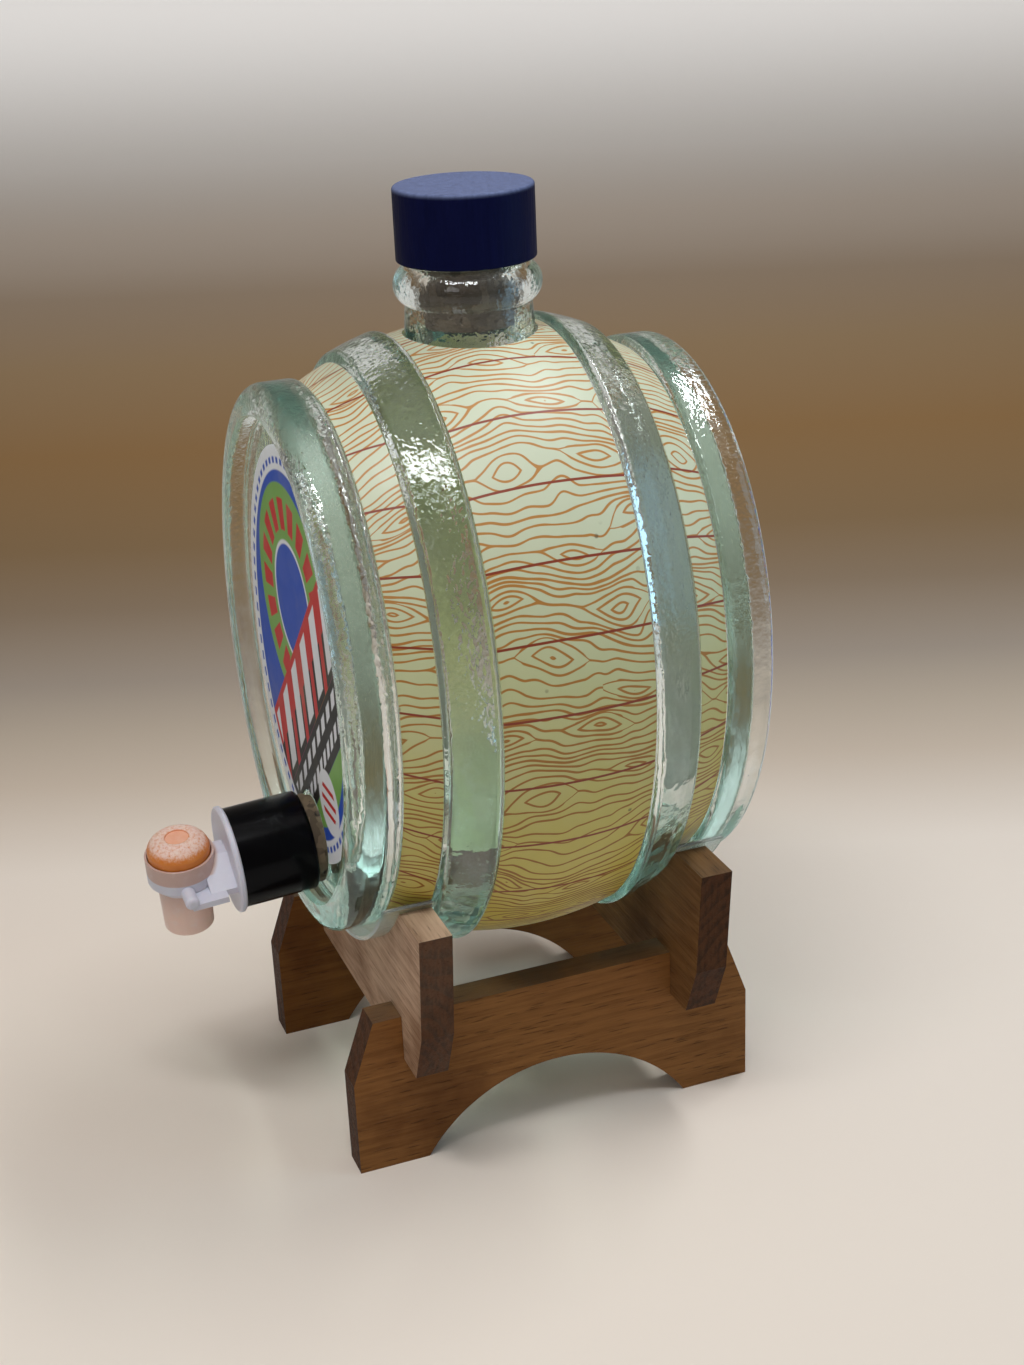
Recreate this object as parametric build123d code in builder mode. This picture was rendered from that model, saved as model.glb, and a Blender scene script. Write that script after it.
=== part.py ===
from build123d import *
import math
import os

# A thick oval glass barrel with printed paper bands, a corked neck on top and a push tap in its front head,
# lying on a wooden cradle stand. Millimetres. +Z is up, the tap faces -Y, and the origin is the centre of
# the stand on the floor.

# Stand: two foot rails along Y
stand_width = 94.6
rail_length = 130.0
rail_thickness = 9.8
rail_height = 51.2
rail_end_height = 31.0
rail_end_inset = 7.2
foot_length = 22.1
arch_height = 23.4

# Stand: two cross boards along X
board_thickness = 10.0
board_seat = 36.3
board_web = 25.14
board_top = 88.2
board_top_length = 139.6
board_waist_length = 131.6
board_bottom_length = 116.2
board_waist_drop = 34.5
slot_clearance = 0.1
liner_thickness = 1.2
liner_end_rise = 3.0
liner_overhang = 5.0
liner_corner = 0.5
seat_clearance = 0.3

# Glass barrel: half of its outline is an arc, turned about the axis and then stretched upward
stretch = 1.22
belly_radius = 77.2
belly_arc = 115.0
centre_zone = 46.0
ring_width = 15.4
ring_rise = 2.4
ring_draft = 0.8
groove_width = 10.8
rim_width = 15.2
rim_rise = 2.2
lip_width = 7.3
head_recess = 6.2
wall = 5.0
ring_shoulder = 1.9
ring_foot = 0.5
lip_outer_round = 4.9
lip_inner_round = 2.2
head_corner_round = 1.0
cavity_round = 6.0

# Neck
neck_height = 18.6
neck_radius = 18.3
neck_root_radius = 19.2
neck_flare_radius = 18.7
neck_bore = 14.4
bead_radius = 21.4
bead_drop = 6.6
bead_half_height = 5.2
mouth_radius = 17.6
mouth_slope = 1.0
mouth_round = 0.8

# Paper bands and head labels
paper = 0.25
glue_gap = 0.05
band_margin = 0.4
band_gap_half = 30.0
centre_gap_half = 22.0
gap_slant = 9.0
neck_label_gap = 0.4
bung_label_gap = 0.8
head_label_radius = 51.6
head_label_height = 128.2
head_label_lift = 1.2

# Stopper
cap_radius = 20.1
cap_height = 20.8
cap_edge = 1.0
cap_gap = 0.3
cap_socket = 8.0
cork_fit = 0.05
cork_length = 18.0
cork_taper = 1.0

# Tap: how it sits in the front head, turned in its hole and drooping a little
tap_turn = 9.0
tap_droop = 3.5
tap_lip_gap = 0.9

# Tap: cork bung, sleeve and flange, along its own axis
bung_radius = 13.8
bung_plug_radius = 13.0
bung_plug_length = 9.0
bung_show = 3.3
bung_seat_gap = 0.15
sleeve_length = 23.1
sleeve_wall = 1.55
sleeve_end_round = 1.4
flange_radius = 16.5
flange_thickness = 2.0
flange_edge = 0.5
tail_radius = 5.0
tail_bore = 3.0
tail_length = 42.0

# Tap: cup and spout, across that axis in front of the flange
cup_reach = 13.7
cup_radius = 10.4
cup_wall = 0.7
cup_rim_rise = 7.3
cup_floor_depth = 8.4
cup_shoulder_height = 3.0
spout_top_radius = 7.8
spout_tip_radius = 7.5
spout_bore = 5.6
spout_length = 25.9
chamber_depth = 7.0
seat_bore = 3.0
seat_thickness = 1.0
guide_thickness = 2.0
channel_radius = 1.8
channel_drop = 6.5
neck_ridge_rise = 5.5
neck_ridge_half = 3.2
neck_base_half = 12.6
wing_span = 31.8
wing_thickness = 2.0
wing_drop = 1.4
wing_length = 11.0
wing_lead = 0.8
rib_half = 4.5
rib_depth = 4.0
peg_radius = 2.1
peg_rise = 0.9
peg_tip = 16.8
peg_round = 1.2

# Button, stem, valve and spring
button_radius = 9.4
button_rise = 5.7
button_side = 2.0
button_skirt = 4.0
button_wall = 1.3
button_roof = 1.7
button_shoulder_angle = 50
button_disc_radius = 3.5
button_disc_dish = 0.3
stem_radius = 2.0
stem_fit = 0.05
boss_radius = 3.2
boss_length = 6.0
stem_socket = 4.5
disc_radius = 4.6
disc_thickness = 1.75
disc_gap = 0.05
spring_radius = 5.4
spring_wire = 0.7
spring_turns = 6
spring_gap = 0.05

# How far cuts reach past the faces that they open, and how near a corner lies to count as on a face
overlap = 1.0
nearness = 0.1


def belly(y, rise=0.0):
    """Radius of the glass, before the stretch, at a distance y from the middle."""
    return belly_radius + rise - (belly_arc - math.sqrt(belly_arc ** 2 - y ** 2))


def belly_point(y, rise=0.0):
    return (belly(y, rise), y)


def save(builder, name, place=Location()):
    """Writes a piece, set where it sits in the object."""
    piece = builder.part.moved(place)
    piece.label = name
    export_step(piece, f"parts/{name}.step")


# Places along the barrel worked out from the sizes
groove_start = centre_zone / 2 + ring_width
groove_end = groove_start + groove_width
groove_centre = (groove_start + groove_end) / 2
rim_front = groove_end + rim_width
rim_radius = belly(groove_end, rim_rise)
lip_radius = rim_radius - lip_width
head_face = rim_front - head_recess

# The barrel lies on the liners: their hollow follows the glass at the inner faces of the boards
inner_edge = groove_centre - board_thickness / 2
liner_gap = glue_gap + paper + seat_clearance
liner_radius = belly(inner_edge) + liner_gap
liner_half_height = belly(inner_edge) * stretch + liner_gap
axis_height = board_seat + board_web + liner_thickness + liner_half_height
glass_top = axis_height + belly_radius * stretch
mouth_z = glass_top + neck_height
axis_origin = (0, 0, axis_height)
side_plane = Plane(origin=axis_origin, x_dir=(1, 0, 0), z_dir=(0, 0, 1))
barrel_axis = Axis(axis_origin, (0, 1, 0))

# The tap has its own axes: -Y along the bung from the outside of the head, Z up through the cup
droop = math.radians(tap_droop)
sleeve_radius = bung_radius + cork_fit + sleeve_wall
sleeve_reach = head_recess * math.sin(droop) + sleeve_radius * math.cos(droop)
tap_z = axis_height - lip_radius * stretch + sleeve_reach + tap_lip_gap
tap_place = Location((0, -head_face, tap_z), (tap_droop, tap_turn, 0))
bung_seat = bung_radius * math.sin(droop) + bung_seat_gap
flange_back = bung_show + sleeve_length
flange_front = flange_back + flange_thickness
cup_front = flange_front + cup_reach
cup_floor = cup_rim_rise - cup_floor_depth
chamber_top = cup_floor - guide_thickness
spout_tip = cup_rim_rise - spout_length
seat_top = chamber_top - chamber_depth
seat_bottom = seat_top - seat_thickness
wing_top = -wing_drop
wing_bottom = wing_top - wing_thickness
button_top = cup_rim_rise + button_rise
button_inside = button_top - button_disc_dish - button_roof
cup_plane = Plane.XZ.offset(cup_front)
cup_axis = Axis((0, -cup_front, 0), (0, 0, 1))


os.makedirs("parts", exist_ok=True)


# Cavity of the glass barrel, with rounded ends
with BuildPart() as cavity:
    with BuildSketch(side_plane) as inside:
        cavity_end = head_face - wall
        turn = groove_end - wall
        with BuildLine():
            ThreePointArc(belly_point(-turn, -wall), belly_point(0, -wall), belly_point(turn, -wall))
            Polyline(
                belly_point(turn, -wall),
                (belly(turn, -wall), cavity_end),
                (0, cavity_end),
                (0, -cavity_end),
                (belly(turn, -wall), -cavity_end),
                belly_point(-turn, -wall),
            )
        make_face()
        cavity_ends = inside.vertices().filter_by(lambda corner: abs(corner.Y) > cavity_end - nearness)
        fillet(cavity_ends.filter_by(lambda corner: corner.X > nearness), cavity_round)
    revolve(axis=barrel_axis)

# Glass barrel: outline of one side, with its rings and rims, less the cavity
with BuildPart() as glass_barrel:
    with BuildSketch(side_plane) as outline:
        with BuildLine():
            ThreePointArc(belly_point(-groove_end), belly_point(0), belly_point(groove_end))
            Polyline(belly_point(groove_end), (0, groove_end), (0, -groove_end), belly_point(-groove_end))
        make_face()
        for side in (-1, 1):
            with BuildLine():
                near = side * centre_zone / 2
                far = side * groove_start
                top_near = near + side * ring_draft
                top_far = far - side * ring_draft
                ThreePointArc(
                    belly_point(top_near, ring_rise),
                    belly_point((top_near + top_far) / 2, ring_rise),
                    belly_point(top_far, ring_rise),
                )
                Polyline(
                    belly_point(top_far, ring_rise),
                    belly_point(far),
                    belly_point(far, -wall / 2),
                    belly_point(near, -wall / 2),
                    belly_point(near),
                    belly_point(top_near, ring_rise),
                )
            make_face()
            with BuildLine():
                Polyline(
                    (0, side * (groove_end - wall)),
                    (belly(groove_end) - wall, side * (groove_end - wall)),
                    (belly(groove_end) - wall, side * groove_end),
                    (belly(groove_end), side * groove_end),
                    (rim_radius, side * (groove_end + ring_draft)),
                    (rim_radius, side * rim_front),
                    (lip_radius, side * rim_front),
                    (lip_radius, side * head_face),
                    (0, side * head_face),
                    close=True,
                )
            make_face()
        shoulders = [
            corner
            for corner in outline.vertices()
            if abs(corner.Y) < rim_front - nearness and corner.X > belly(corner.Y, ring_rise / 2)
        ]
        fillet(shoulders, ring_shoulder)
        feet = [
            corner
            for corner in outline.vertices()
            if abs(corner.Y) < groove_end + nearness and abs(corner.X - belly(corner.Y)) < nearness
        ]
        fillet(feet, ring_foot)
        front_corners = outline.vertices().filter_by(lambda corner: abs(corner.Y) > rim_front - nearness)
        fillet(front_corners.filter_by(lambda corner: corner.X > rim_radius - nearness), lip_outer_round)
        fillet(front_corners.filter_by(lambda corner: corner.X < lip_radius + nearness), lip_inner_round)
        head_corners = [
            corner
            for corner in outline.vertices()
            if abs(abs(corner.Y) - head_face) < nearness and nearness < corner.X < lip_radius + nearness
        ]
        fillet(head_corners, head_corner_round)
    revolve(axis=barrel_axis)
    add(cavity.part, mode=Mode.SUBTRACT)
    scale(by=(1, 1, stretch), about=axis_origin, mode=Mode.REPLACE)
    # neck with its bead, and the bore down into the cavity
    with BuildSketch(Plane.XZ) as neck_outline:
        with BuildLine():
            neck_root = glass_top - wall
            neck_waist = mouth_z - bead_drop - bead_half_height
            bead_z = mouth_z - bead_drop
            bead_end = (mouth_radius + mouth_slope, bead_z + bead_half_height)
            ThreePointArc(
                (neck_root_radius, neck_root),
                (neck_flare_radius, (neck_root + neck_waist) / 2),
                (neck_radius, neck_waist),
            )
            ThreePointArc((neck_radius, neck_waist), (bead_radius, bead_z), bead_end)
            Polyline(
                bead_end,
                (mouth_radius, mouth_z),
                (neck_bore - overlap, mouth_z),
                (neck_bore - overlap, neck_root),
                (neck_root_radius, neck_root),
            )
        make_face()
    revolve(axis=Axis.Z)
    with BuildSketch(Plane.XY.offset(axis_height)):
        Circle(neck_bore)
    extrude(amount=mouth_z + overlap - axis_height, mode=Mode.SUBTRACT)
    mouth_edges = glass_barrel.edges().filter_by(GeomType.CIRCLE).group_by(Axis.Z)[-1]
    fillet(mouth_edges, mouth_round)
    # tap hole through the front head, along the tap's axis
    tap_frame = Plane(tap_place)
    hole_start = tap_frame.from_local_coords((0, bung_plug_length, 0))
    with BuildSketch(Plane(origin=hole_start, x_dir=tap_frame.x_dir, z_dir=-tap_frame.y_dir)):
        Circle(bung_plug_radius + cork_fit)
    extrude(amount=bung_plug_length + bung_show, mode=Mode.SUBTRACT)
save(glass_barrel, "glass_barrel")


def paper_band(start, end, gap_half, slant):
    """A paper band on the glass between two distances from the middle, open at the bottom."""
    with BuildPart() as band:
        with BuildSketch(side_plane):
            with BuildLine():
                middle = (start + end) / 2
                top = glue_gap + paper
                ThreePointArc(belly_point(start, top), belly_point(middle, top), belly_point(end, top))
                Line(belly_point(end, top), belly_point(end, glue_gap))
                ThreePointArc(
                    belly_point(end, glue_gap),
                    belly_point(middle, glue_gap),
                    belly_point(start, glue_gap),
                )
                Line(belly_point(start, glue_gap), belly_point(start, top))
            make_face()
        revolve(axis=barrel_axis)
        scale(by=(1, 1, stretch), about=axis_origin, mode=Mode.REPLACE)
        with BuildSketch(Plane.XY.offset(axis_height)):
            Polygon(
                (-gap_half, min(start, end) - overlap),
                (gap_half, min(start, end) - overlap),
                (gap_half + slant, max(start, end) + overlap),
                (-gap_half + slant, max(start, end) + overlap),
                align=None,
            )
        extrude(amount=-belly_radius * stretch - overlap, mode=Mode.SUBTRACT)
        with BuildSketch(Plane.XY.offset(axis_height)):
            Circle(neck_root_radius + neck_label_gap)
        extrude(amount=belly_radius * stretch + overlap, mode=Mode.SUBTRACT)
    return band


centre_edge = centre_zone / 2 - band_margin
save(paper_band(-centre_edge, centre_edge, centre_gap_half, gap_slant), "centre_label")
for side, name in ((-1, "front_band_label"), (1, "rear_band_label")):
    band_start = side * (groove_start + band_margin)
    band_end = side * (groove_end - band_margin)
    save(paper_band(band_start, band_end, band_gap_half, gap_slant / 2), name)


# Head labels: ovals on the recessed heads; the front one is cut round the cork
for side, name in ((-1, "front_head_label"), (1, "rear_head_label")):
    label_centre = (0, side * (head_face + glue_gap), axis_height + head_label_lift)
    label_plane = Plane(origin=label_centre, x_dir=(1, 0, 0), z_dir=(0, side, 0))
    with BuildPart() as head_label:
        with BuildSketch(label_plane):
            Ellipse(head_label_radius, head_label_height / 2)
            if side < 0:
                with Locations(label_plane.to_local_coords(Vector(0, -head_face, tap_z))):
                    Circle(bung_radius + bung_label_gap, mode=Mode.SUBTRACT)
        extrude(amount=paper)
    save(head_label, name)


# Stopper: turned wooden cap with a socket, and the cork that is glued into it
cap_bottom = mouth_z + cap_gap
cork_radius = neck_bore - cork_fit
with BuildPart() as stopper_cap:
    with BuildSketch(Plane.XY.offset(cap_bottom)):
        Circle(cap_radius)
    extrude(amount=cap_height)
    fillet(stopper_cap.edges().group_by(Axis.Z)[-1], cap_edge)
    fillet(stopper_cap.edges().group_by(Axis.Z)[0], cap_edge / 2)
    with BuildSketch(Plane.XY.offset(cap_bottom)):
        Circle(cork_radius)
    extrude(amount=cap_socket, mode=Mode.SUBTRACT)
save(stopper_cap, "stopper_cap")

with BuildPart() as stopper_cork:
    with BuildSketch(Plane.XZ):
        cork_foot = mouth_z - cork_length
        Polygon(
            (0, cork_foot),
            (cork_radius - cork_taper, cork_foot),
            (cork_radius, mouth_z),
            (cork_radius, cap_bottom + cap_socket),
            (0, cap_bottom + cap_socket),
            align=None,
        )
    revolve(axis=Axis.Z)
save(stopper_cork, "stopper_cork")


# Cork bung of the tap: a plug in the head, a thicker body in the sleeve, and a bore
with BuildPart() as tap_cork:
    with BuildSketch(Plane.XZ.offset(bung_seat)):
        Circle(bung_radius)
    extrude(amount=flange_back - bung_seat)
    with BuildSketch(Plane.XZ.offset(-bung_plug_length)):
        Circle(bung_plug_radius)
    extrude(amount=bung_plug_length + bung_seat)
    chamfer(tap_cork.edges().group_by(Axis.Y)[-1], cork_taper)
    with BuildSketch(Plane.XZ.offset(-bung_plug_length)):
        Circle(tail_radius + cork_fit)
    extrude(amount=flange_back + bung_plug_length, mode=Mode.SUBTRACT)
save(tap_cork, "tap_cork", tap_place)

with BuildPart() as tap_sleeve:
    with BuildSketch(Plane.XZ.offset(bung_show)):
        Circle(sleeve_radius)
        Circle(bung_radius + cork_fit, mode=Mode.SUBTRACT)
    extrude(amount=sleeve_length)
    sleeve_end = tap_sleeve.edges().filter_by(GeomType.CIRCLE).group_by(Axis.Y)[-1]
    fillet(sleeve_end.sort_by(SortBy.RADIUS)[-1], sleeve_end_round)
save(tap_sleeve, "tap_sleeve", tap_place)


# White tap moulding: solids first, then the bores
with BuildPart() as tap_body:
    with BuildSketch(Plane.XZ.offset(flange_back)):
        Circle(flange_radius)
    extrude(amount=flange_thickness)
    chamfer(tap_body.edges().filter_by(GeomType.CIRCLE), flange_edge)
    with BuildSketch(Plane.XZ.offset(flange_back - tail_length)):
        Circle(tail_radius)
    extrude(amount=tail_length)
    with BuildSketch(cup_plane):
        Polygon(
            (0, spout_tip),
            (spout_tip_radius, spout_tip),
            (spout_top_radius, cup_floor - cup_shoulder_height),
            (cup_radius, cup_floor),
            (cup_radius, cup_rim_rise),
            (0, cup_rim_rise),
            align=None,
        )
    revolve(axis=cup_axis)
    # neck: a ridged block between flange and cup, over a flat pair of finger wings and a rib
    with BuildSketch(Plane.XZ.offset(flange_front)):
        Polygon(
            (-neck_ridge_half, neck_ridge_rise),
            (neck_ridge_half, neck_ridge_rise),
            (neck_base_half, wing_top),
            (neck_base_half, wing_bottom),
            (-neck_base_half, wing_bottom),
            (-neck_base_half, wing_top),
            align=None,
        )
        with Locations((0, wing_bottom - rib_depth / 2)):
            Rectangle(2 * rib_half, rib_depth)
    extrude(amount=cup_reach - spout_bore)
    wing_front = cup_front + wing_lead
    with BuildSketch(Plane.XY.offset(wing_bottom)):
        with Locations((0, -wing_front + wing_length / 2)):
            Rectangle(wing_span, wing_length)
    extrude(amount=wing_thickness)
    # two round-ended pegs on one line; the cup's bore parts them
    with BuildSketch(Plane.XY.offset(wing_top + peg_rise)) as pegs:
        with Locations((0, -wing_front)):
            Rectangle(2 * peg_tip, peg_radius, align=(Align.CENTER, Align.MIN))
        fillet(pegs.vertices().group_by(Axis.Y)[-1], peg_round)
    revolve(axis=Axis((0, -wing_front, wing_top + peg_rise), (1, 0, 0)))
    # cup, stem guide, chamber, seat and outlet
    with BuildSketch(cup_plane):
        Polygon(
            (0, spout_tip - overlap),
            (spout_bore, spout_tip - overlap),
            (spout_bore, seat_bottom),
            (seat_bore, seat_bottom),
            (seat_bore, seat_top),
            (spout_bore, seat_top),
            (spout_bore, chamber_top),
            (stem_radius + stem_fit, chamber_top),
            (stem_radius + stem_fit, cup_floor),
            (cup_radius - cup_wall, cup_floor),
            (cup_radius - cup_wall, cup_rim_rise + overlap),
            (0, cup_rim_rise + overlap),
            align=None,
        )
    revolve(axis=cup_axis, mode=Mode.SUBTRACT)
    # liquid way: along the tail, down behind the cup and forward into the chamber
    turn_y = flange_front + tail_bore - channel_radius / 2
    with BuildSketch(Plane.XZ.offset(flange_back - tail_length)):
        Circle(tail_bore)
    extrude(amount=tail_length + flange_thickness, mode=Mode.SUBTRACT)
    with BuildSketch(Plane.XZ.offset(flange_front)):
        Circle(channel_radius)
    extrude(amount=turn_y - flange_front, mode=Mode.SUBTRACT)
    with BuildSketch(Plane.XY.offset(-channel_drop)):
        with Locations((0, -turn_y)):
            Circle(channel_radius)
    extrude(amount=channel_drop, mode=Mode.SUBTRACT)
    with BuildSketch(Plane.XZ.offset(turn_y)):
        with Locations((0, -channel_drop)):
            Circle(channel_radius)
    extrude(amount=cup_front - turn_y, mode=Mode.SUBTRACT)
save(tap_body, "tap_body", tap_place)


# Button with a boss, its stem and the rubber valve disc
with BuildPart() as push_button:
    side_top = cup_rim_rise + button_side
    skirt_foot = cup_rim_rise - button_skirt
    bore_radius = button_radius - button_wall
    with BuildSketch(cup_plane):
        with BuildLine():
            Polyline((bore_radius, skirt_foot), (button_radius, skirt_foot), (button_radius, side_top))
            turn_angle = math.radians(button_shoulder_angle)
            shoulder = (
                button_disc_radius + (button_radius - button_disc_radius) * math.sin(turn_angle),
                side_top + (button_top - side_top) * math.cos(turn_angle),
            )
            ThreePointArc((button_radius, side_top), shoulder, (button_disc_radius, button_top))
            Polyline(
                (button_disc_radius, button_top),
                (button_disc_radius, button_top - button_disc_dish),
                (0, button_top - button_disc_dish),
                (0, button_inside - boss_length + stem_socket),
                (stem_radius, button_inside - boss_length + stem_socket),
                (stem_radius, button_inside - boss_length),
                (boss_radius, button_inside - boss_length),
                (boss_radius, button_inside),
                (bore_radius - button_wall, button_inside),
                (bore_radius, button_inside - button_wall),
                (bore_radius, skirt_foot),
            )
        make_face()
    revolve(axis=cup_axis)
save(push_button, "push_button", tap_place)

disc_top = seat_bottom - disc_gap
with BuildPart() as valve_stem:
    with BuildSketch(Plane.XY.offset(disc_top - disc_thickness)):
        with Locations((0, -cup_front)):
            Circle(stem_radius)
    extrude(amount=button_inside - boss_length + stem_socket - disc_top + disc_thickness)
save(valve_stem, "valve_stem", tap_place)

with BuildPart() as valve_disc:
    with BuildSketch(Plane.XY.offset(disc_top - disc_thickness)):
        with Locations((0, -cup_front)):
            Circle(disc_radius)
            Circle(stem_radius, mode=Mode.SUBTRACT)
    extrude(amount=disc_thickness)
save(valve_disc, "valve_disc", tap_place)

# Return spring between the cup's floor and the button
with BuildPart() as return_spring:
    spring_foot = cup_floor + spring_gap + spring_wire / 2
    spring_height = button_inside - spring_gap - spring_wire / 2 - spring_foot
    with BuildLine() as coil:
        Helix(
            pitch=spring_height / spring_turns,
            height=spring_height,
            radius=spring_radius,
            center=(0, -cup_front, spring_foot),
        )
    with BuildSketch(Plane(origin=coil.wire() @ 0, z_dir=coil.wire() % 0)):
        Circle(spring_wire / 2)
    sweep(is_frenet=True)
save(return_spring, "return_spring", tap_place)

# Least gap between the spring's turns, measured on points of its centre line
points_per_turn = 40
coil_steps = points_per_turn * spring_turns
coil_points = [coil.wire() @ (step / coil_steps) for step in range(coil_steps + 1)]
least_distance = min(
    (coil_points[first] - coil_points[second]).length
    for first in range(coil_steps + 1)
    for second in range(first + points_per_turn * 3 // 4, coil_steps + 1)
)
print(f"least gap between the spring's turns {least_distance - spring_wire:.2f} mm")


# Foot rails: an arch below, sloped ends above, and a slot for each cross board
for side, name in ((-1, "left_rail"), (1, "right_rail")):
    inner_face = side * (stand_width / 2 - rail_thickness)
    with BuildPart() as rail:
        with BuildSketch(Plane.YZ.offset(inner_face)):
            with BuildLine():
                half = rail_length / 2
                arch_half = half - foot_length
                Polyline(
                    (-arch_half, 0),
                    (-half, 0),
                    (-half, rail_end_height),
                    (-half + rail_end_inset, rail_height),
                    (half - rail_end_inset, rail_height),
                    (half, rail_end_height),
                    (half, 0),
                    (arch_half, 0),
                )
                ThreePointArc((arch_half, 0), (0, arch_height), (-arch_half, 0))
            make_face()
            with Locations((-groove_centre, board_seat), (groove_centre, board_seat)):
                Rectangle(
                    board_thickness + 2 * slot_clearance,
                    rail_height,
                    align=(Align.CENTER, Align.MIN),
                    mode=Mode.SUBTRACT,
                )
        extrude(amount=side * rail_thickness)
    save(rail, name)


# Cross boards and the clear liners on their hollow edges
hollow_radius = liner_radius + liner_thickness
hollow_half_height = liner_half_height + liner_thickness
for side, place in ((-1, "front"), (1, "rear")):
    board_plane = Plane(origin=(0, side * inner_edge, 0), x_dir=(1, 0, 0), z_dir=(0, -1, 0))
    with BuildPart() as cradle:
        with BuildSketch(board_plane):
            Polygon(
                (-board_bottom_length / 2, board_seat),
                (board_bottom_length / 2, board_seat),
                (board_waist_length / 2, board_top - board_waist_drop),
                (board_top_length / 2, board_top),
                (-board_top_length / 2, board_top),
                (-board_waist_length / 2, board_top - board_waist_drop),
                align=None,
            )
            with Locations((0, axis_height)):
                Ellipse(hollow_radius, hollow_half_height, mode=Mode.SUBTRACT)
        extrude(amount=-side * board_thickness)
    save(cradle, f"{place}_cradle")

    with BuildPart() as liner:
        with BuildSketch(board_plane):
            with Locations((0, axis_height)):
                Ellipse(hollow_radius, hollow_half_height)
                Ellipse(liner_radius, liner_half_height, mode=Mode.SUBTRACT)
            with Locations((0, board_top + liner_end_rise)):
                Rectangle(
                    2 * hollow_radius,
                    2 * hollow_half_height,
                    align=(Align.CENTER, Align.MIN),
                    mode=Mode.SUBTRACT,
                )
        extrude(amount=-side * (board_thickness + liner_overhang))
        fillet(liner.faces().group_by(Axis.Z)[-1].edges(), liner_corner)
    save(liner, f"{place}_cradle_liner")
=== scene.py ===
import bmesh
import bpy
import math
from mathutils import Matrix, Vector


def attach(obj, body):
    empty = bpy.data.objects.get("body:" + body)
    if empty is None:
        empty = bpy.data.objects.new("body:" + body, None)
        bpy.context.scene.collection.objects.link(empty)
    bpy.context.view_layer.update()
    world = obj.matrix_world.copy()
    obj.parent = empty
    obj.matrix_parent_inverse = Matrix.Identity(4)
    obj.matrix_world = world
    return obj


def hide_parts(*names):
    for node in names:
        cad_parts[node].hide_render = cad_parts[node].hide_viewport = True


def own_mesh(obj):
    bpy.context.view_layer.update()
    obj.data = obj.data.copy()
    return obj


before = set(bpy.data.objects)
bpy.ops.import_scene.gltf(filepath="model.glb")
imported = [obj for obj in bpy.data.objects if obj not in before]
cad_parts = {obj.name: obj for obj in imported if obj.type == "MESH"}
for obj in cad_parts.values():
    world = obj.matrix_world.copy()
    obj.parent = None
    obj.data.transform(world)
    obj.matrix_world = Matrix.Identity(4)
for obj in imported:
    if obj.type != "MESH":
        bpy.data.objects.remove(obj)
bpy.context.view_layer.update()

scene = bpy.context.scene

# Sizes that the looks follow, in metres: the barrel's axis, its height over its width and its half width
AXIS_Z = 0.1492
STRETCH = 1.22
BELLY = 0.0772
# Terms that turn an angle about the axis into a share of the way round the oval
OVAL_MEAN = 1.113
OVAL_SWING = 0.0547
# The head labels' middle, half width and half height
HEAD_Z = 0.1504
HEAD_A = 0.0516
HEAD_B = 0.0641
CAP_TOP = 0.2831
# The tap's own place: its origin on the front head, its droop and its turn about the bung
TAP_PLACE = (0.0, -0.0582, 0.09137)
TAP_DROOP = math.radians(3.5)
TAP_TURN = math.radians(9.0)
CUP_FRONT = 0.0421
BUTTON_TOP = 0.0130
# The return spring: where its wire's middle line starts and ends along the cup
SPRING_FOOT = -0.00070
SPRING_TOP = 0.01060
SPRING_RADIUS = 0.0054
SPRING_WIRE = 0.00035
SPRING_TURNS = 6


def tap_turned():
    """Rotation from the tap's own axes into the frame."""
    return Matrix.Rotation(TAP_DROOP, 3, "X") @ Matrix.Rotation(TAP_TURN, 3, "Y")


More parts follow.
